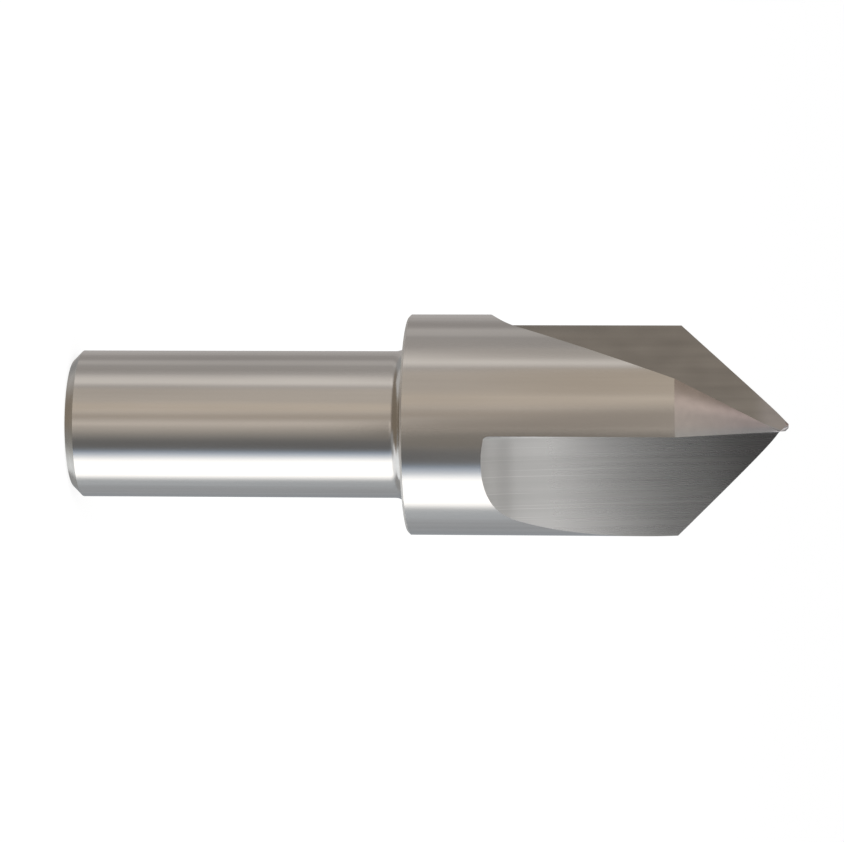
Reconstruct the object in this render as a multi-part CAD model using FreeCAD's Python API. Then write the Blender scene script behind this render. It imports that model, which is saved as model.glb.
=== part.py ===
import FreeCAD, Part
import math
import os

# Three-flute countersink bit, ground from one round steel bar.
# It stands on its shank end: z = 0 is the flat end of the shank, +Z runs along
# the axis to the point. All lengths are in millimetres, all angles in degrees.

# Turned blank
HEAD_DIAMETER = 19.05
SHANK_DIAMETER = 12.7
OVERALL_LENGTH = 61.88
SHANK_LENGTH = 29.25
SHANK_END_CHAMFER = 0.8
SHOULDER_FILLET = 1.2
HEAD_BACK_CHAMFER = 0.2

# Conical point with a small flat nose. The included angle is held along the
# cutting edges, and each land falls away behind its edge because its cone is
# tilted forward.
POINT_ANGLE = 90.0
NOSE_DIAMETER = 0.34
RELIEF_TILT = 0.6

# Flutes. Each is a V with a flat rake face and a flat sloping floor. The rake
# face runs parallel to the axis, a little ahead of it.
FLUTE_COUNT = 3
RAKE_OFFSET = 0.43
RAKE_LEAN = 3.3
ROOT_ANGLE = 21.2
ROOT_CROSSING_BELOW_APEX = 3.03
FLOOR_LEAN = 17.8
ROOT_RADIUS = 0.4

# Runout of each flute towards the shank
RUNOUT_RADIUS = 6.6
RUNOUT_START_BELOW_APEX = 23.1

HEAD_RADIUS = HEAD_DIAMETER / 2
SHANK_RADIUS = SHANK_DIAMETER / 2
POINT_HEIGHT = HEAD_RADIUS / math.tan(math.radians(POINT_ANGLE / 2))
# Where the cones of the point would meet, just above its flat nose
APEX_HEIGHT = OVERALL_LENGTH + NOSE_DIAMETER / 2 / math.tan(math.radians(POINT_ANGLE / 2))
FLUTE_PITCH = 360.0 / FLUTE_COUNT
# The rake face meets the side of the head along this azimuth
CUTTING_EDGE_AZIMUTH = RAKE_LEAN - 90 + math.degrees(math.asin(RAKE_OFFSET / HEAD_RADIUS))
# How far a cutting shape reaches past the surface that it cuts
OVERRUN = 3.0


def unit(azimuth):
    angle = math.radians(azimuth)
    return FreeCAD.Vector(math.cos(angle), math.sin(angle), 0)


def turned_blank():
    # Half section of shank, shoulder and head, turned about the Z axis
    def at(radius, height):
        return FreeCAD.Vector(radius, 0, height)

    bend = SHOULDER_FILLET * (1 - math.sqrt(0.5))
    shoulder_arc = Part.Arc(
        at(SHANK_RADIUS, SHANK_LENGTH - SHOULDER_FILLET),
        at(SHANK_RADIUS + bend, SHANK_LENGTH - bend),
        at(SHANK_RADIUS + SHOULDER_FILLET, SHANK_LENGTH),
    ).toShape()
    lower = Part.makePolygon([
        at(0, 0),
        at(SHANK_RADIUS - SHANK_END_CHAMFER, 0),
        at(SHANK_RADIUS, SHANK_END_CHAMFER),
        at(SHANK_RADIUS, SHANK_LENGTH - SHOULDER_FILLET),
    ])
    upper = Part.makePolygon([
        at(SHANK_RADIUS + SHOULDER_FILLET, SHANK_LENGTH),
        at(HEAD_RADIUS - HEAD_BACK_CHAMFER, SHANK_LENGTH),
        at(HEAD_RADIUS, SHANK_LENGTH + HEAD_BACK_CHAMFER),
        at(HEAD_RADIUS, OVERALL_LENGTH),
        at(0, OVERALL_LENGTH),
        at(0, 0),
    ])
    outline = Part.Wire(lower.Edges + [shoulder_arc] + upper.Edges)
    axis = FreeCAD.Vector(0, 0, 1)
    return Part.Face(outline).revolve(FreeCAD.Vector(0, 0, 0), axis, 360)


def land_sector(first_azimuth):
    # Upright wedge with its edge on the axis, one flute pitch wide, running
    # back from the middle of the flute ahead of the land. It starts low enough
    # to hold the whole point and reaches well outside the head.
    reach = 3 * HEAD_RADIUS
    bottom = APEX_HEIGHT - 1.5 * POINT_HEIGHT
    foot = FreeCAD.Vector(0, 0, bottom)
    corners = [
        foot,
        foot + unit(first_azimuth - FLUTE_PITCH) * reach,
        foot + unit(first_azimuth - FLUTE_PITCH / 2) * reach,
        foot + unit(first_azimuth) * reach,
        foot,
    ]
    height = FreeCAD.Vector(0, 0, APEX_HEIGHT + OVERRUN - bottom)
    return Part.Face(Part.makePolygon(corners)).extrude(height)


def relieved_cone(edge_azimuth):
    # Cone with its apex just above the nose of the bit. Its axis leans towards
    # the side that the edge moves to, so its slant equals half of POINT_ANGLE
    # along the cutting edge and gets narrower behind it.
    tilt = math.radians(RELIEF_TILT)
    slant = math.acos(math.cos(math.radians(POINT_ANGLE / 2)) * math.cos(tilt))
    lean = unit(edge_azimuth + 90) * math.sin(tilt)
    direction = lean - FreeCAD.Vector(0, 0, math.cos(tilt))
    length = 4 * POINT_HEIGHT
    apex = FreeCAD.Vector(0, 0, APEX_HEIGHT)
    return Part.makeCone(0, length * math.tan(slant), length, apex, direction)


def point_grinding(index):
    # What is ground off one sector of the blank to leave its land of the point
    turn = FLUTE_PITCH * index
    cone = relieved_cone(CUTTING_EDGE_AZIMUTH + turn)
    return land_sector(RAKE_LEAN + turn).cut(cone)


def flute_profile():
    # Outline of a flute in the plane of its rake face. The root line slopes
    # from the middle of the bit near the point out to the head's side, then
    # bends out in the runout arc.
    rake_normal = unit(RAKE_LEAN)
    outward = unit(RAKE_LEAN - 90)

    def at(out, height):
        return rake_normal * RAKE_OFFSET + outward * out + FreeCAD.Vector(0, 0, height)

    slope = math.radians(ROOT_ANGLE)
    crossing = APEX_HEIGHT - ROOT_CROSSING_BELOW_APEX
    start = APEX_HEIGHT - RUNOUT_START_BELOW_APEX
    top = APEX_HEIGHT + OVERRUN
    top_out = (crossing - top) * math.tan(slope)
    start_out = (crossing - start) * math.tan(slope)

    centre_out = start_out + RUNOUT_RADIUS * math.cos(slope)
    centre_height = start + RUNOUT_RADIUS * math.sin(slope)
    half_turn = (math.pi / 2 - slope) / 2
    middle_out = centre_out - RUNOUT_RADIUS * math.sin(half_turn)
    middle_height = centre_height - RUNOUT_RADIUS * math.cos(half_turn)
    end_height = centre_height - RUNOUT_RADIUS
    rim_out = centre_out + HEAD_RADIUS

    root_line = Part.makeLine(at(top_out, top), at(start_out, start))
    runout_arc = Part.Arc(
        at(start_out, start),
        at(middle_out, middle_height),
        at(centre_out, end_height),
    ).toShape()
    rim = Part.makePolygon([
        at(centre_out, end_height),
        at(rim_out, end_height),
        at(rim_out, top),
        at(top_out, top),
    ])
    return root_line, runout_arc, rim


def lies_on(edge, line):
    middle = edge.valueAt((edge.FirstParameter + edge.LastParameter) / 2)
    return line.distToShape(Part.Vertex(middle))[0] < 1e-6


def flute_cutter():
    # The outline is carried off the rake face along the floor's own slope, so
    # floor and runout have straight lines across the flute
    root_line, runout_arc, rim = flute_profile()
    outline = Part.Wire([root_line, runout_arc] + rim.Edges)
    across = unit(RAKE_LEAN + FLOOR_LEAN) * HEAD_DIAMETER
    cutter = Part.Face(outline).extrude(across)
    root = [e for e in cutter.Edges if lies_on(e, root_line) or lies_on(e, runout_arc)]
    return cutter.makeFillet(ROOT_RADIUS, root)


def countersink_bit():
    bit = turned_blank().cut([point_grinding(index) for index in range(FLUTE_COUNT)])
    cutter = flute_cutter()
    flutes = []
    for index in range(FLUTE_COUNT):
        flute = cutter.copy()
        flute.rotate(FreeCAD.Vector(0, 0, 0), FreeCAD.Vector(0, 0, 1), FLUTE_PITCH * index)
        flutes.append(flute)
    return bit.cut(flutes).removeSplitter()


os.makedirs("parts", exist_ok=True)
bit = countersink_bit().Solids[0]
bit.exportStep("parts/countersink_bit.step")
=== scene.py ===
import math

import bmesh
import bpy
from mathutils import Matrix, Vector


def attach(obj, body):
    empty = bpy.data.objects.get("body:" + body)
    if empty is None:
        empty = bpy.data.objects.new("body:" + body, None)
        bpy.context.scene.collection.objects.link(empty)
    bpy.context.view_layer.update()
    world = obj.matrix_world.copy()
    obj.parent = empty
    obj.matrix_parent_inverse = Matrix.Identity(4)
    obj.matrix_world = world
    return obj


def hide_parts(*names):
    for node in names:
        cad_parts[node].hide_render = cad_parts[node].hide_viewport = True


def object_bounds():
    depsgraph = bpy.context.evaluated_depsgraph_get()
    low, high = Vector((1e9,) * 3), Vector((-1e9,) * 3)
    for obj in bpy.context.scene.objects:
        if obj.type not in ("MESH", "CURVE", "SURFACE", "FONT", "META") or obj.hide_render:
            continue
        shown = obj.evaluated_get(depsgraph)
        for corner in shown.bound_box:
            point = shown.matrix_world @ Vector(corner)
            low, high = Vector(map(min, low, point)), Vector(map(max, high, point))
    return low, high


# A ground steel countersink bit standing on its shank end, +Z to the point.
# All lengths are in metres. The cards' azimuths are in degrees, measured from
# the camera's side (-Y) towards -X, which is up in the picture. Directions on
# the bit itself are in radians, measured from +X.

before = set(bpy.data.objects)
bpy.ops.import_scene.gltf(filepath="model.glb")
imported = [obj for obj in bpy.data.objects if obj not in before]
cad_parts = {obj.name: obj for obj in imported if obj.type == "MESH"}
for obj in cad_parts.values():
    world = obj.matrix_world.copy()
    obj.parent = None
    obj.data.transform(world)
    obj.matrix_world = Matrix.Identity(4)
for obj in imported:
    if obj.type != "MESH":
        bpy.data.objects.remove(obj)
cad_low, cad_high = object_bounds()

HEAD_RADIUS = cad_high.x
OVERALL_LENGTH = cad_high.z
SHANK_RADIUS = 0.00635
SHANK_LENGTH = 0.02925
END_CHAMFER = 0.0008
SHOULDER_FILLET = 0.0012
NOSE_RADIUS = 0.00017
POINT_HALF_ANGLE = math.radians(45)
APEX_HEIGHT = OVERALL_LENGTH + NOSE_RADIUS
RELIEF_TILT = math.radians(0.6)
FLUTE_COUNT = 3
FLUTE_PITCH = math.radians(120)
RAKE_LEAN = math.radians(3.3)
RAKE_OFFSET = 0.00043
FLOOR_LEAN = math.radians(17.8)
EDGE_DIRECTION = math.radians(-84.1)

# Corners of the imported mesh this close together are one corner
SAME_CORNER = 1e-7
# Corners this close to a turned surface lie on it
ON_SURFACE = 0.000004
# A land falls away from the full cone of the point by less than this
LAND_DEPTH = 0.0006
# How far a face of the end chamfer looks down, and one of a land looks up
CHAMFER_FACING = -0.5
LAND_FACING = 0.6
# A face that looks along a rake face's normal to this cosine is part of it
RAKE_MATCH = 0.9995
# Faces that meet at more than this angle are shaded apart
SHARP_EDGE = math.radians(28)


def new_object(name, data):
    thing = bpy.data.objects.new(name, data)
    bpy.context.scene.collection.objects.link(thing)
    return thing


# The bit

def direction(angle):
    return Vector((math.cos(angle), math.sin(angle), 0))


def sideways(point):
    return Vector((point.x, point.y, 0)).normalized()


def radius(point):
    return math.hypot(point.x, point.y)


def land_normal(point, index):
    # Each land lies on a cone of its own, which leans the way its edge moves
    toward = direction(EDGE_DIRECTION + FLUTE_PITCH * index + math.pi / 2)
    axis = toward * math.sin(RELIEF_TILT) - Vector((0, 0, math.cos(RELIEF_TILT)))
    slant = math.acos(math.cos(POINT_HALF_ANGLE) * math.cos(RELIEF_TILT))
    away = (point - Vector((0, 0, APEX_HEIGHT))).normalized()
    return (away * math.cos(slant) - axis).normalized()


def which_land(point):
    # The land's sector runs one flute pitch back from the rake face's normal
    behind = (RAKE_LEAN - math.atan2(point.y, point.x)) % (2 * math.pi)
    return (-int(behind // FLUTE_PITCH)) % FLUTE_COUNT


def surface_of(face):
    # The ground or turned surface that a face of the bit belongs to
    points = [v.co for v in face.verts]
    middle = face.calc_center_median()
    top = max(p.z for p in points)
    bottom = min(p.z for p in points)
    if top < ON_SURFACE:
        return "end"
    if top < END_CHAMFER + ON_SURFACE and face.normal.z < CHAMFER_FACING:
        return "end chamfer"
    if all(abs(radius(p) - SHANK_RADIUS) < ON_SURFACE for p in points):
        return "shank"
    if top < SHANK_LENGTH + ON_SURFACE:
        return "shoulder" if bottom > SHANK_LENGTH - ON_SURFACE else "shoulder fillet"
    if all(abs(radius(p) - HEAD_RADIUS) < ON_SURFACE for p in points):
        return "head"
    if bottom < SHANK_LENGTH + ON_SURFACE:
        return "back chamfer"
    if bottom > OVERALL_LENGTH - ON_SURFACE:
        return "nose"
    if face.normal.z > LAND_FACING and radius(middle) + middle.z > APEX_HEIGHT - LAND_DEPTH:
        return "land"
    for index in range(FLUTE_COUNT):
        if face.normal.dot(direction(RAKE_LEAN + FLUTE_PITCH * index)) > RAKE_MATCH:
            return "rake face"
    return "flute floor"


def exact_normal(surface, point, face):
    # Turned and coned surfaces are shaded as the true surfaces they stand for
    out = sideways(point)
    if surface in ("shank", "head"):
        return out
    if surface in ("end chamfer", "back chamfer"):
        return (out + Vector((0, 0, -1))).normalized()
    if surface == "shoulder fillet":
        ring = out * (SHANK_RADIUS + SHOULDER_FILLET)
        ring.z = SHANK_LENGTH - SHOULDER_FILLET
        return (ring - point).normalized()
    if surface == "land":
        return land_normal(point, which_land(face.calc_center_median()))
    return None


def grain_place(point, normal):
    # Where a point of a flute lies across and along the lines of its grinding.
    # The lines of the floor run beside the rake face, which is its fence.
    middle = RAKE_LEAN + (FLOOR_LEAN - math.pi / 2) / 2
    turn = round((math.atan2(normal.y, normal.x) - middle) / FLUTE_PITCH) * FLUTE_PITCH
    rake_normal = direction(RAKE_LEAN + turn)
    if normal.dot(rake_normal) > RAKE_MATCH:
        outward = direction(RAKE_LEAN + turn - math.pi / 2)
        return point.dot(outward), point.z
    off_rake = point.dot(rake_normal) - RAKE_OFFSET
    return off_rake / math.cos(FLOOR_LEAN), point.z


FINISH_OF = {
    "end": "turned end",
    "end chamfer": "turned chamfers",
    "shoulder": "turned chamfers",
    "shoulder fillet": "polished steel",
    "back chamfer": "broken edge",
    "shank": "polished steel",
    "head": "polished steel",
    "land": "ground point",
    "nose": "ground point",
    "rake face": "ground rake face",
    "flute floor": "ground flute floor",
}
FINISHES = sorted(set(FINISH_OF.values()))


def make_bit():
    cad_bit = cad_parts["countersink_bit"]
    shape = bmesh.new()
    shape.from_mesh(cad_bit.data)
    bmesh.ops.remove_doubles(shape, verts=shape.verts, dist=SAME_CORNER)
    shape.normal_update()
    grain = shape.loops.layers.uv.new("grain")
    surfaces = []
    for face in shape.faces:
        surface = surface_of(face)
        face.material_index = FINISHES.index(FINISH_OF[surface])
        face.smooth = True
        surfaces.append(surface)
        for corner in face.loops:
            corner[grain].uv = grain_place(corner.vert.co, face.normal)
    for edge in shape.edges:
        if len(edge.link_faces) == 2:
            edge.smooth = edge.calc_face_angle() < SHARP_EDGE
    mesh = bpy.data.meshes.new("countersink_bit_ground")
    shape.to_mesh(mesh)

    normals = [corner.vector.copy() for corner in mesh.corner_normals]
    shape.faces.ensure_lookup_table()
    for polygon, face in zip(mesh.polygons, shape.faces):
        for corner in polygon.loop_indices:
            point = mesh.vertices[mesh.loops[corner].vertex_index].co
            exact = exact_normal(surfaces[polygon.index], point, face)
            if exact is not None:
                normals[corner] = exact
    shape.free()
    mesh.normals_split_custom_set(normals)

    bit = new_object("countersink_bit_ground", mesh)
    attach(bit, "root")
    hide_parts("countersink_bit")
    return bit


# Node helpers

def add(tree, kind, **settings):
    node = tree.nodes.new(kind)
    for name, value in settings.items():
        setattr(node, name, value)
    return node


def connect(tree, source, target):
    tree.links.new(source, target)


def new_material(name):
    material = bpy.data.materials.new(name)
    material.use_nodes = True
    return material, material.node_tree


def combine(tree, first, second, operation="ADD"):
    node = add(tree, "ShaderNodeMath", operation=operation)
    connect(tree, first, node.inputs[0])
    connect(tree, second, node.inputs[1])
    return node.outputs["Value"]


def smooth_rise(tree, value, start, stop, level=1.0):
    # Goes from nothing at one value to a level at another
    rise = add(tree, "ShaderNodeMapRange", interpolation_type="SMOOTHSTEP")
    rise.inputs["From Min"].default_value = start
    rise.inputs["From Max"].default_value = stop
    rise.inputs["To Max"].default_value = level
    connect(tree, value, rise.inputs["Value"])
    return rise.outputs["Result"]


def glow_of(tree, light):
    glow = add(tree, "ShaderNodeEmission")
    glow.inputs["Color"].default_value = (*light, 1)
    return glow


def blend(tree, share, under, over):
    mix = add(tree, "ShaderNodeMixShader")
    connect(tree, share, mix.inputs["Fac"])
    connect(tree, under, mix.inputs[1])
    connect(tree, over, mix.inputs[2])
    return mix.outputs["Shader"]


def noise_of(tree, source, scale, detail, seed):
    # Noise drawn out by unequal scales, in cycles per metre
    stretch = add(tree, "ShaderNodeMapping")
    stretch.inputs["Scale"].default_value = scale
    stretch.inputs["Location"].default_value = (seed, seed, seed)
    noise = add(tree, "ShaderNodeTexNoise")
    noise.inputs["Scale"].default_value = 1.0
    noise.inputs["Detail"].default_value = detail
    connect(tree, source, stretch.inputs["Vector"])
    connect(tree, stretch.outputs["Vector"], noise.inputs["Vector"])
    return noise.outputs["Fac"]


def body_noise(tree, scale, detail, seed):
    place = add(tree, "ShaderNodeTexCoord")
    return noise_of(tree, place.outputs["Object"], scale, detail, seed)


def flute_noise(tree, across, along, detail, seed):
    place = add(tree, "ShaderNodeUVMap", uv_map="grain")
    return noise_of(tree, place.outputs["UV"], (across, along, 1), detail, seed)


def flattened(tree, scale):
    # The place on the bit without its height, scaled
    place = add(tree, "ShaderNodeTexCoord")
    flat = add(tree, "ShaderNodeVectorMath", operation="MULTIPLY")
    flat.inputs[1].default_value = (scale, scale, 0)
    connect(tree, place.outputs["Object"], flat.inputs[0])
    return flat.outputs["Vector"]


def ring_noise(tree, rings_per_metre, detail, seed):
    # Noise on the distance from the axis, for the rings left by facing
    distance = add(tree, "ShaderNodeVectorMath", operation="LENGTH")
    shift = add(tree, "ShaderNodeMath", operation="ADD")
    shift.inputs[1].default_value = seed
    noise = add(tree, "ShaderNodeTexNoise", noise_dimensions="1D")
    noise.inputs["Scale"].default_value = 1.0
    noise.inputs["Detail"].default_value = detail
    connect(tree, flattened(tree, rings_per_metre), distance.inputs[0])
    connect(tree, distance.outputs["Value"], shift.inputs[0])
    connect(tree, shift.outputs["Value"], noise.inputs["W"])
    return noise.outputs["Fac"]


# Noise values mostly keep within this reach of their middle
NOISE_MIDDLE = 0.5
NOISE_REACH = 0.22
# Only the highest crests of the noise leave a scratch
SCRATCH_CREST = 0.76
SCRATCH_REACH = 0.03


def mapped(tree, value, low, high, middle=NOISE_MIDDLE, reach=NOISE_REACH):
    # A noise value spread between two numbers
    spread = add(tree, "ShaderNodeMapRange")
    spread.inputs["From Min"].default_value = middle - reach
    spread.inputs["From Max"].default_value = middle + reach
    spread.inputs["To Min"].default_value = low
    spread.inputs["To Max"].default_value = high
    connect(tree, value, spread.inputs["Value"])
    return spread.outputs["Result"]


# Finishes

def tangent_along_axis(tree):
    # Lines run round the bit, so a reflection is drawn out along the axis
    axis = add(tree, "ShaderNodeCombineXYZ")
    axis.inputs["Z"].default_value = 1
    return axis.outputs["Vector"]


def tangent_across_flute(tree):
    # Lines run along the flute, so a reflection is drawn out across it
    surface = add(tree, "ShaderNodeNewGeometry")
    across = add(tree, "ShaderNodeVectorMath", operation="CROSS_PRODUCT")
    across.inputs[1].default_value = (0, 0, 1)
    connect(tree, surface.outputs["Normal"], across.inputs[0])
    return across.outputs["Vector"]


def tangent_from_axis(tree):
    # Rings of a faced end, so a reflection is drawn out from the middle
    return flattened(tree, 1)


def ramp_on_height(tree, start, stop, level):
    # Goes from nothing at one height on the bit to a level at another
    place = add(tree, "ShaderNodeTexCoord")
    split = add(tree, "ShaderNodeSeparateXYZ")
    connect(tree, place.outputs["Object"], split.inputs["Vector"])
    return smooth_rise(tree, split.outputs["Z"], start, stop, level)


def painted_shading_to_point(tree, colour, painted_tone, start, stop):
    # Paints light and shade towards the point of the bit: shade on the lands and the flute floors,
    # light on the rake faces
    mix = add(tree, "ShaderNodeMix", data_type="RGBA")
    plain, painted_socket = [s for s in mix.inputs if s.type == "RGBA"]
    plain.default_value = (*colour, 1)
    painted_socket.default_value = (*painted_tone, 1)
    connect(tree, ramp_on_height(tree, start, stop, 1), mix.inputs["Factor"])
    return next(s for s in mix.outputs if s.type == "RGBA")


def steel(name, colour, finish):
    # Bare steel. Fine lines go in the bump, streaks in the roughness, and
    # streaks, broad patches and single scratches in the tone.
    material, tree = new_material(name)
    shader = tree.nodes["Principled BSDF"]
    shader.inputs["Metallic"].default_value = 1.0
    shader.inputs["Anisotropic"].default_value = finish["stretch"]

    low, high = finish["tone"]
    patches = mapped(tree, finish["patches"](tree), low, high)
    tone_streaks = mapped(tree, finish["tone_streaks"](tree), low, high)
    tone = combine(tree, patches, tone_streaks, "MULTIPLY")
    if "scratches" in finish:
        noise = finish["scratches"](tree)
        scratch = mapped(tree, noise, 0, finish["scratch"], SCRATCH_CREST, SCRATCH_REACH)
        tone = combine(tree, tone, scratch)
    shade = add(tree, "ShaderNodeVectorMath", operation="SCALE")
    shade.inputs[0].default_value = colour
    # Painted shade and light towards the point, where a finish has it
    if "painted_to_point" in finish:
        connect(tree, painted_shading_to_point(tree, colour, *finish["painted_to_point"]), shade.inputs[0])
    connect(tree, tone, shade.inputs["Scale"])
    connect(tree, shade.outputs["Vector"], shader.inputs["Base Color"])

    smooth, rough = finish["roughness"]
    roughness = mapped(tree, finish["streaks"](tree), smooth, rough)
    if "rougher_below" in finish:
        roughness = combine(tree, roughness, ramp_on_height(tree, *finish["rougher_below"]))
    connect(tree, roughness, shader.inputs["Roughness"])

    bump = add(tree, "ShaderNodeBump")
    bump.inputs["Strength"].default_value = finish["bump"]
    bump.inputs["Distance"].default_value = finish["depth"]
    connect(tree, finish["lines"](tree), bump.inputs["Height"])
    connect(tree, bump.outputs["Normal"], shader.inputs["Normal"])
    connect(tree, finish["tangent"](tree), shader.inputs["Tangent"])
    return material


def polished_steel():
    return steel("polished steel", (0.62, 0.6, 0.575), {
        "lines": lambda tree: body_noise(tree, (260, 260, 9000), 3, 3),
        "streaks": lambda tree: body_noise(tree, (900, 900, 60), 2, 11),
        "tone_streaks": lambda tree: body_noise(tree, (1400, 1400, 22), 3, 59),
        "patches": lambda tree: body_noise(tree, (280, 280, 50), 2, 29),
        "tone": (0.96, 1.04), "roughness": (0.165, 0.21), "stretch": 0.5,
        "bump": 0.1, "depth": 0.000003, "tangent": tangent_along_axis,
    })


def turned_chamfers():
    return steel("turned chamfers", (0.56, 0.54, 0.51), {
        "lines": lambda tree: body_noise(tree, (500, 500, 12000), 3, 5),
        "streaks": lambda tree: body_noise(tree, (300, 300, 6000), 2, 17),
        "tone_streaks": lambda tree: body_noise(tree, (300, 300, 4000), 2, 47),
        "patches": lambda tree: body_noise(tree, (400, 400, 400), 2, 23),
        "tone": (0.94, 1.05), "roughness": (0.24, 0.34), "stretch": 0.5,
        "bump": 0.3, "depth": 0.000006, "tangent": tangent_along_axis,
    })


def broken_edge_painted_highlight():
    # Lighter than any other steel here: a painted highlight along the back edge. The higher roughness
    # is the edge's own.
    return steel("broken edge", (0.82, 0.8, 0.77), {
        "lines": lambda tree: body_noise(tree, (900, 900, 9000), 3, 5),
        "streaks": lambda tree: body_noise(tree, (600, 600, 6000), 2, 17),
        "tone_streaks": lambda tree: body_noise(tree, (600, 600, 4000), 2, 51),
        "patches": lambda tree: body_noise(tree, (700, 700, 700), 2, 53),
        "tone": (0.92, 1.04), "roughness": (0.45, 0.55), "stretch": 0.0,
        "bump": 0.3, "depth": 0.000006, "tangent": tangent_along_axis,
    })


def turned_end():
    return steel("turned end", (0.55, 0.535, 0.51), {
        "lines": lambda tree: ring_noise(tree, 9000, 3, 5),
        "streaks": lambda tree: ring_noise(tree, 2600, 2, 17),
        "tone_streaks": lambda tree: ring_noise(tree, 1500, 2, 61),
        "patches": lambda tree: body_noise(tree, (400, 400, 400), 2, 23),
        "tone": (0.93, 1.05), "roughness": (0.24, 0.38), "stretch": 0.6,
        "bump": 0.4, "depth": 0.000008, "tangent": tangent_from_axis,
    })


def ground_point():
    return steel("ground point", (0.6, 0.575, 0.555), {
        "lines": lambda tree: body_noise(tree, (500, 500, 9000), 3, 7),
        "streaks": lambda tree: body_noise(tree, (400, 400, 1500), 2, 13),
        "tone_streaks": lambda tree: body_noise(tree, (1600, 1600, 300), 2, 67),
        "patches": lambda tree: body_noise(tree, (500, 500, 300), 2, 31),
        "tone": (0.97, 1.03), "roughness": (0.22, 0.27), "stretch": 0.5,
        # Painted shade: the lands darken towards the point
        "painted_to_point": ((0.48, 0.45, 0.46), 0.0525, 0.0592),
        "bump": 0.15, "depth": 0.000004, "tangent": tangent_along_axis,
    })


def ground_flute_floor():
    return steel("ground flute floor", (0.47, 0.467, 0.46), {
        "lines": lambda tree: flute_noise(tree, 7000, 16, 1, 9),
        "streaks": lambda tree: flute_noise(tree, 2600, 18, 2, 19),
        "tone_streaks": lambda tree: flute_noise(tree, 2400, 14, 3, 71),
        "patches": lambda tree: flute_noise(tree, 300, 130, 1, 37),
        "scratches": lambda tree: flute_noise(tree, 9000, 40, 0, 83),
        "tone": (0.95, 1.04), "scratch": 0.16, "roughness": (0.25, 0.3), "stretch": 0.4,
        "rougher_below": (0.0425, 0.037, 0.26),
        # Painted shade: the flute floors darken towards the point
        "painted_to_point": ((0.385, 0.377, 0.375), 0.0545, 0.0595),
        "bump": 0.08, "depth": 0.000004, "tangent": tangent_across_flute,
    })


def ground_rake_face():
    # The rake face's base colour is darker and browner than the flute floor's steel: painted shade
    return steel("ground rake face", (0.315, 0.298, 0.277), {
        "lines": lambda tree: flute_noise(tree, 7000, 80, 1, 15),
        "streaks": lambda tree: flute_noise(tree, 1800, 80, 1, 27),
        "tone_streaks": lambda tree: flute_noise(tree, 1200, 60, 2, 73),
        "patches": lambda tree: flute_noise(tree, 420, 300, 1, 41),
        "tone": (0.93, 1.06), "roughness": (0.32, 0.44), "stretch": 0.3,
        # Painted light: the rake faces lighten towards the point
        "painted_to_point": ((0.416, 0.395, 0.39), 0.0586, 0.0603),
        "bump": 0.18, "depth": 0.000006, "tangent": tangent_across_flute,
    })


FINISH_MAKERS = {
    "polished steel": polished_steel,
    "turned chamfers": turned_chamfers,
    "broken edge": broken_edge_painted_highlight,
    "turned end": turned_end,
    "ground point": ground_point,
    "ground flute floor": ground_flute_floor,
    "ground rake face": ground_rake_face,
}


def finish_bit(bit):
    for name in FINISHES:
        bit.data.materials.append(FINISH_MAKERS[name]())


# Reflection cards

CARD_STEPS = 24
SQUARE = [(0, 0), (1, 0), (1, 1), (0, 1)]
ONE_FACE = [(0, 1, 2, 3)]
NO_FADE = (0, 0, 0, 0)
FADE_ALL_ROUND = (0.1, 0.1, 0.1, 0.1)


def card_finish(name, light, soft, uneven=None):
    # Glowing card whose sides fade out. Light is its colour and level together.
    # Soft gives the fading share at its left, right, bottom and top. Uneven
    # gives how many waves its light has from side to side and how deep they are.
    material, tree = new_material(name)
    tree.nodes.clear()
    place = add(tree, "ShaderNodeUVMap", uv_map="card")
    split = add(tree, "ShaderNodeSeparateXYZ")
    connect(tree, place.outputs["UV"], split.inputs["Vector"])
    across, up = split.outputs["X"], split.outputs["Y"]
    glow = glow_of(tree, light)
    if uneven:
        waves, depth = uneven
        wave = add(tree, "ShaderNodeTexNoise", noise_dimensions="1D")
        wave.inputs["Scale"].default_value = waves
        wave.inputs["Detail"].default_value = 2
        connect(tree, across, wave.inputs["W"])
        level = mapped(tree, wave.outputs["Fac"], 1 - depth, 1 + depth)
        connect(tree, level, glow.inputs["Strength"])
    seen = glow.outputs["Emission"]
    edges = []
    for value, side, share in (
        (across, 0, soft[0]), (across, 1, -soft[1]), (up, 0, soft[2]), (up, 1, -soft[3]),
    ):
        if share:
            edges.append(smooth_rise(tree, value, side, side + share))
    if edges:
        mask = edges[0]
        for edge in edges[1:]:
            mask = combine(tree, mask, edge, "MULTIPLY")
        clear = add(tree, "ShaderNodeBsdfTransparent")
        seen = blend(tree, mask, clear.outputs["BSDF"], seen)
    output = add(tree, "ShaderNodeOutputMaterial")
    connect(tree, seen, output.inputs["Surface"])
    return material


def place_card(name, points, faces, places, finish):
    # A card is seen by glossy rays alone, so it lights nothing but reflections
    mesh = bpy.data.meshes.new(name)
    mesh.from_pydata(points, [], faces)
    layer = mesh.uv_layers.new(name="card")
    for loop in mesh.loops:
        layer.data[loop.index].uv = places[loop.vertex_index]
    mesh.materials.append(finish)
    card = new_object(name, mesh)
    card.visible_camera = False
    card.visible_diffuse = False
    card.visible_transmission = False
    card.visible_volume_scatter = False
    card.visible_shadow = False


def bent_card(name, start, stop, low, high, distance, light, soft=NO_FADE, uneven=None, slant=0):
    # Upright card bent round the bit's axis between two azimuths. Slant moves
    # the top of its second side on by so many degrees.
    points, places, faces = [], [], []
    for step in range(CARD_STEPS + 1):
        share = step / CARD_STEPS
        for height, reach in ((low, stop), (high, stop + slant)):
            azimuth = math.radians(start + (reach - start) * share)
            x = -math.sin(azimuth) * distance
            y = -math.cos(azimuth) * distance
            points.append((x, y, height))
        places += [(share, 0), (share, 1)]
    for first in range(0, 2 * CARD_STEPS, 2):
        faces.append((first, first + 2, first + 3, first + 1))
    place_card(name, points, faces, places, card_finish(name, light, soft, uneven))


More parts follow.
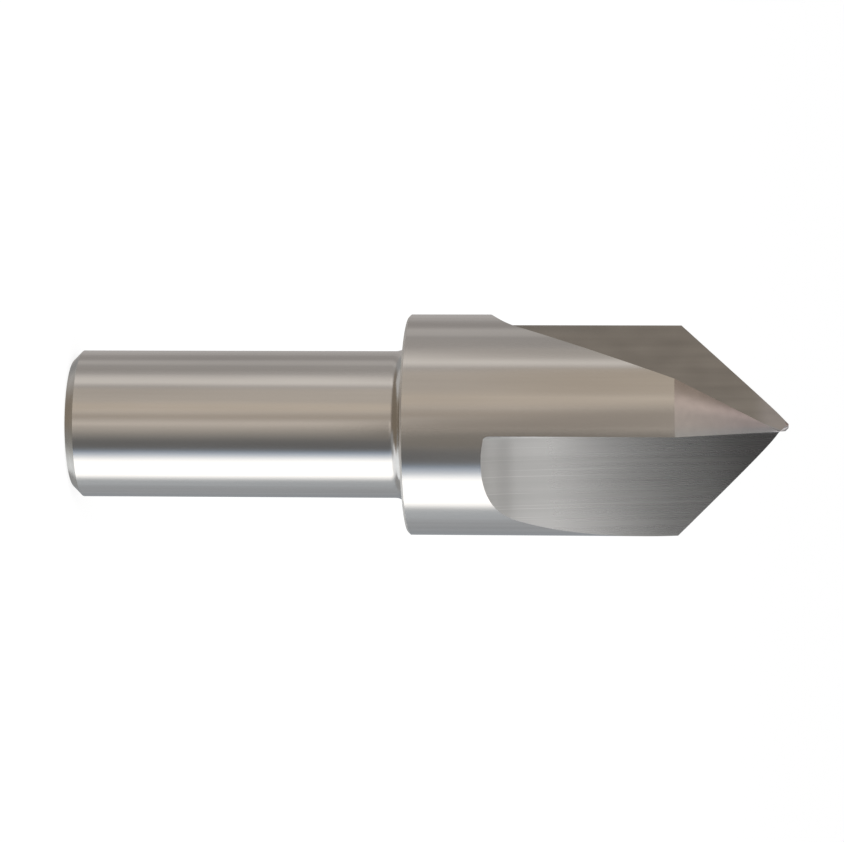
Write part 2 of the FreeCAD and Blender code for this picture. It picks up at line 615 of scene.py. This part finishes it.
def flat_card(name, azimuth, distance, sides, low, high, light, soft):
    # Upright flat card square to one azimuth. Its sides are given along the way
    # that the azimuth grows.
    turn = math.radians(azimuth)
    middle = Vector((-math.sin(turn), -math.cos(turn), 0)) * distance
    aside = Vector((-math.cos(turn), math.sin(turn), 0))
    points = [middle + aside * sides[i] + Vector((0, 0, (low, high)[j])) for i, j in SQUARE]
    place_card(name, points, ONE_FACE, SQUARE, card_finish(name, light, soft))


def level_card(name, x_range, y_range, height, light, soft=NO_FADE):
    points = [(x_range[i], y_range[j], height) for i, j in SQUARE]
    place_card(name, points, ONE_FACE, SQUARE, card_finish(name, light, soft))


def cards_round_the_bit():
    # What the shank and the head show. A nearer card covers those behind it.
    wall = (-0.5, 0.5)
    bent_card("warm_grey_wall", -40, 180, *wall, 0.72, (0.48, 0.46, 0.45), uneven=(22, 0.2))
    bent_card("cool_grey_wall", -180, -40, *wall, 0.72, (0.43, 0.45, 0.475), uneven=(18, 0.12))
    bent_card("cool_side_card", -123, -80, *wall, 0.71, (0.55, 0.585, 0.62), (0.3, 0, 0, 0))
    bent_card("cool_end_card", -180, -138, *wall, 0.71, (0.34, 0.36, 0.385), (0, 0.4, 0, 0))
    bent_card("dim_seam", 117, 140, *wall, 0.71, (0.39, 0.37, 0.36), (0.4, 0.4, 0, 0))
    bent_card("lit_streak", 100, 121, *wall, 0.7, (0.56, 0.54, 0.525), (0.5, 0.5, 0, 0))
    bent_card("dim_streak", 85, 104, *wall, 0.69, (0.42, 0.4, 0.385), (0.4, 0.4, 0, 0))
    bent_card("light_card", 58, 92, *wall, 0.68, (0.9, 0.86, 0.82), (0.3, 0.7, 0, 0))
    bent_card("warm_card", -34, 62, *wall, 0.65, (0.6, 0.55, 0.495), (0.1, 0.08, 0, 0), (12, 0.05))
    bent_card("tan_card", 14, 37, *wall, 0.63, (0.7, 0.62, 0.53), (0.4, 0.4, 0, 0))
    bent_card("tan_seam", 5, 17, *wall, 0.62, (0.5, 0.44, 0.38), (0.4, 0.4, 0, 0))
    bent_card("pale_seam", -5, 5, *wall, 0.61, (0.73, 0.665, 0.6), (0.4, 0.4, 0, 0))
    bent_card("dark_gap", -50, -1, *wall, 0.59, (0.18, 0.18, 0.18), (0.15, 0.6, 0, 0))
    bent_card("cool_edge", -66, -38, *wall, 0.57, (0.36, 0.46, 0.6), (0.1, 0.4, 0, 0))
    bent_card("strip_light", -102, -43, *wall, 0.55, (1.9, 1.9, 1.9), (0.27, 0.37, 0, 0))


def cards_below_the_bit():
    # What the shoulder fillet and the end chamfer show. The chamfer looks at
    # the back of the ground, the fillet at its front.
    skirt = (-0.5, -0.22)
    behind = (-0.05, 0.9)
    before = (-0.8, -0.05)
    bent_card("brown_skirt", -20, 120, *skirt, 0.53, (0.24, 0.2, 0.16), (0.1, 0.2, 0, 0.2))
    bent_card("grey_skirt", -180, 180, *skirt, 0.54, (0.38, 0.385, 0.39), (0, 0, 0, 0.2))
    bent_card("bright_skirt", -105, -48, *skirt, 0.53, (1.15, 1.18, 1.22), (0.2, 0.3, 0, 0.2))
    level_card("ground_dim", (-0.9, -0.1), behind, -0.5, (0.6, 0.595, 0.59))
    level_card("ground_grey", (-0.1, 0.3), behind, -0.5, (0.36, 0.36, 0.35))
    level_card("ground_light", (0.15, 0.9), behind, -0.498, (1.15, 1.2, 1.24), (0.1, 0, 0, 0))
    level_card("ground_brown", (-0.26, 0.09), behind, -0.497, (0.37, 0.32, 0.265), (0.35, 0.3, 0, 0))
    level_card("fillet_shade", (-0.8, 0.8), before, -0.499, (0.25, 0.21, 0.165))
    level_card("fillet_light", (0.25, 0.8), before, -0.498, (1.15, 1.18, 1.22), (0.15, 0, 0, 0))


def cards_above_the_bit():
    # What the lands of the point and the runouts show
    long_way = (-0.8, 0.8)
    level_card("runout_card", (0.08, 0.32), (-0.25, 0.09), 0.3, (1.85, 1.84, 1.83), FADE_ALL_ROUND)
    level_card("ceiling_brown", (-0.8, -0.14), long_way, 0.5, (0.34, 0.28, 0.235))
    level_card("ceiling_pink", (-0.165, -0.085), long_way, 0.498, (0.81, 0.69, 0.63), (0.5, 0.1, 0, 0))
    level_card("ceiling_warm", (-0.14, 0.012), long_way, 0.5, (0.55, 0.493, 0.455))
    level_card("ceiling_grey", (0.012, 0.8), long_way, 0.5, (0.47, 0.475, 0.46))


def cards_beside_the_head():
    # Small cards close to the bit, where the head differs from the shank
    close = (0.0165, 0.06, 0.085)
    shade_fade = (0.3, 0.45, 0.1, 0.1)
    seam_fade = (0.3, 0.35, 0.1, 0.1)
    bent_card("head_shade", -10, 3, *close, (0.39, 0.35, 0.31), shade_fade, slant=31)
    bent_card("head_glow", 27, 61, 0.026, 0.06, 0.086, (0.57, 0.5, 0.42), (0.2, 0.15, 0.35, 0.1))
    bent_card("head_dull", 64, 87, 0.012, 0.06, 0.084, (0.52, 0.49, 0.46), (0.35, 0.35, 0.5, 0.1))
    bent_card("head_seam", -27, -2, *close, (0.26, 0.24, 0.215), seam_fade)


def cards_before_the_flute():
    # The floor of the lower flute shows a bright card, which a grey flag and a
    # dark shade cover more and more towards the point
    square_to = -21.1
    flag_sides = (-0.065, 0.004)
    flat_card(
        "flute_card", square_to, 0.0402, (-0.045, 0.004), 0.048, 0.08,
        (1.19, 1.18, 1.17), (0.1, 0.1, 0, 0),
    )
    flat_card(
        "flute_flag", square_to, 0.04, flag_sides, 0.0667, 0.101,
        (0.3, 0.3, 0.3), (0.1, 0.06, 0.3, 0.15),
    )
    flat_card(
        "flute_shade", square_to, 0.0398, flag_sides, 0.0755, 0.107,
        (0.08, 0.08, 0.08), (0.1, 0.06, 0.42, 0.15),
    )
    bent_card("tip_shade", -105, -25, 0.0605, 0.082, 0.012, (0.1, 0.1, 0.1), (0.1, 0.1, 0.15, 0.2))


# Studio

WHITE = (1.0, 1.0, 1.0)
FLOOR_RADIUS = 6.0
FLOOR_SIDES = 64
# Share of the floor's white that is glow. Lamps light the rest of it, which
# keeps the bit's shadow.
FLOOR_GLOW = 0.85


def white_surround():
    world = bpy.data.worlds.new("surround")
    world.use_nodes = True
    background = world.node_tree.nodes["Background"]
    background.inputs["Color"].default_value = (*WHITE, 1)
    background.inputs["Strength"].default_value = 1.0
    bpy.context.scene.world = world


def pale_floor():
    # White to the camera, less the object's shadow
    mesh = bpy.data.meshes.new("floor")
    turns = [2 * math.pi * side / FLOOR_SIDES for side in range(FLOOR_SIDES)]
    rim = [direction(turn) * FLOOR_RADIUS for turn in turns]
    mesh.from_pydata(rim, [], [tuple(range(FLOOR_SIDES))])
    material, tree = new_material("pale floor")
    shader = tree.nodes["Principled BSDF"]
    shader.inputs["Base Color"].default_value = (*WHITE, 1)
    shader.inputs["Roughness"].default_value = 1.0
    shader.inputs["Specular IOR Level"].default_value = 0.0
    rays = add(tree, "ShaderNodeLightPath")
    seen = combine(tree, rays.outputs["Is Camera Ray"], rays.outputs["Is Glossy Ray"], "MAXIMUM")
    seen = combine(tree, seen, rays.outputs["Is Transmission Ray"], "MAXIMUM")
    share = add(tree, "ShaderNodeMath", operation="MULTIPLY")
    share.inputs[1].default_value = FLOOR_GLOW
    connect(tree, seen, share.inputs[0])
    glow = glow_of(tree, WHITE)
    surface = blend(tree, share.outputs["Value"], shader.outputs["BSDF"], glow.outputs["Emission"])
    connect(tree, surface, tree.nodes["Material Output"].inputs["Surface"])
    mesh.materials.append(material)
    floor = new_object("floor", mesh)
    floor.visible_glossy = False


def soft_lamp(name, place, size, power):
    data = bpy.data.lights.new(name, "AREA")
    data.shape = "DISK"
    data.size = size
    data.energy = power
    lamp = new_object(name, data)
    lamp.location = place
    lamp.rotation_mode = "QUATERNION"
    lamp.rotation_quaternion = Vector(place).to_track_quat("Z", "Y")
    lamp.visible_glossy = False


# Camera

PICTURE_WIDTH = 844
PIXEL = 0.00008643
CAMERA_DISTANCE = 4350 * PIXEL
CAMERA_LEAN = math.radians(5.6)
CAMERA_ROLL = math.radians(0.22)
AXIS_BELOW_CENTRE = 3.6 * PIXEL
PICTURE_CENTRE_HEIGHT = 0.0303
SENSOR_WIDTH = 36.0


def place_camera():
    # The bit lies across the picture, so the camera is turned on its side
    data = bpy.data.cameras.new("camera")
    data.sensor_width = SENSOR_WIDTH
    data.lens = SENSOR_WIDTH * CAMERA_DISTANCE / (PICTURE_WIDTH * PIXEL)
    data.clip_start = 0.01
    data.clip_end = 20.0
    camera = new_object("camera", data)
    back = Vector((0, -math.cos(CAMERA_LEAN), math.sin(CAMERA_LEAN)))
    along_bit = Vector((0, math.sin(CAMERA_LEAN), math.cos(CAMERA_LEAN)))
    across_bit = Vector((-1, 0, 0))
    right = along_bit * math.cos(CAMERA_ROLL) + across_bit * math.sin(CAMERA_ROLL)
    up = across_bit * math.cos(CAMERA_ROLL) - along_bit * math.sin(CAMERA_ROLL)
    aim = Vector((0, 0, PICTURE_CENTRE_HEIGHT)) + across_bit * AXIS_BELOW_CENTRE
    turn = Matrix((right, up, back)).transposed().to_4x4()
    camera.matrix_world = Matrix.Translation(aim + back * CAMERA_DISTANCE) @ turn
    bpy.context.scene.camera = camera


finish_bit(make_bit())
cards_round_the_bit()
cards_below_the_bit()
cards_above_the_bit()
cards_beside_the_head()
cards_before_the_flute()
white_surround()
pale_floor()
soft_lamp("key_lamp", (-0.5, -0.6, 0.9), 0.8, 6.0)
soft_lamp("fill_lamp", (0.8, -0.3, 0.7), 0.8, 3.0)
place_camera()

bpy.context.scene.view_settings.view_transform = "Standard"
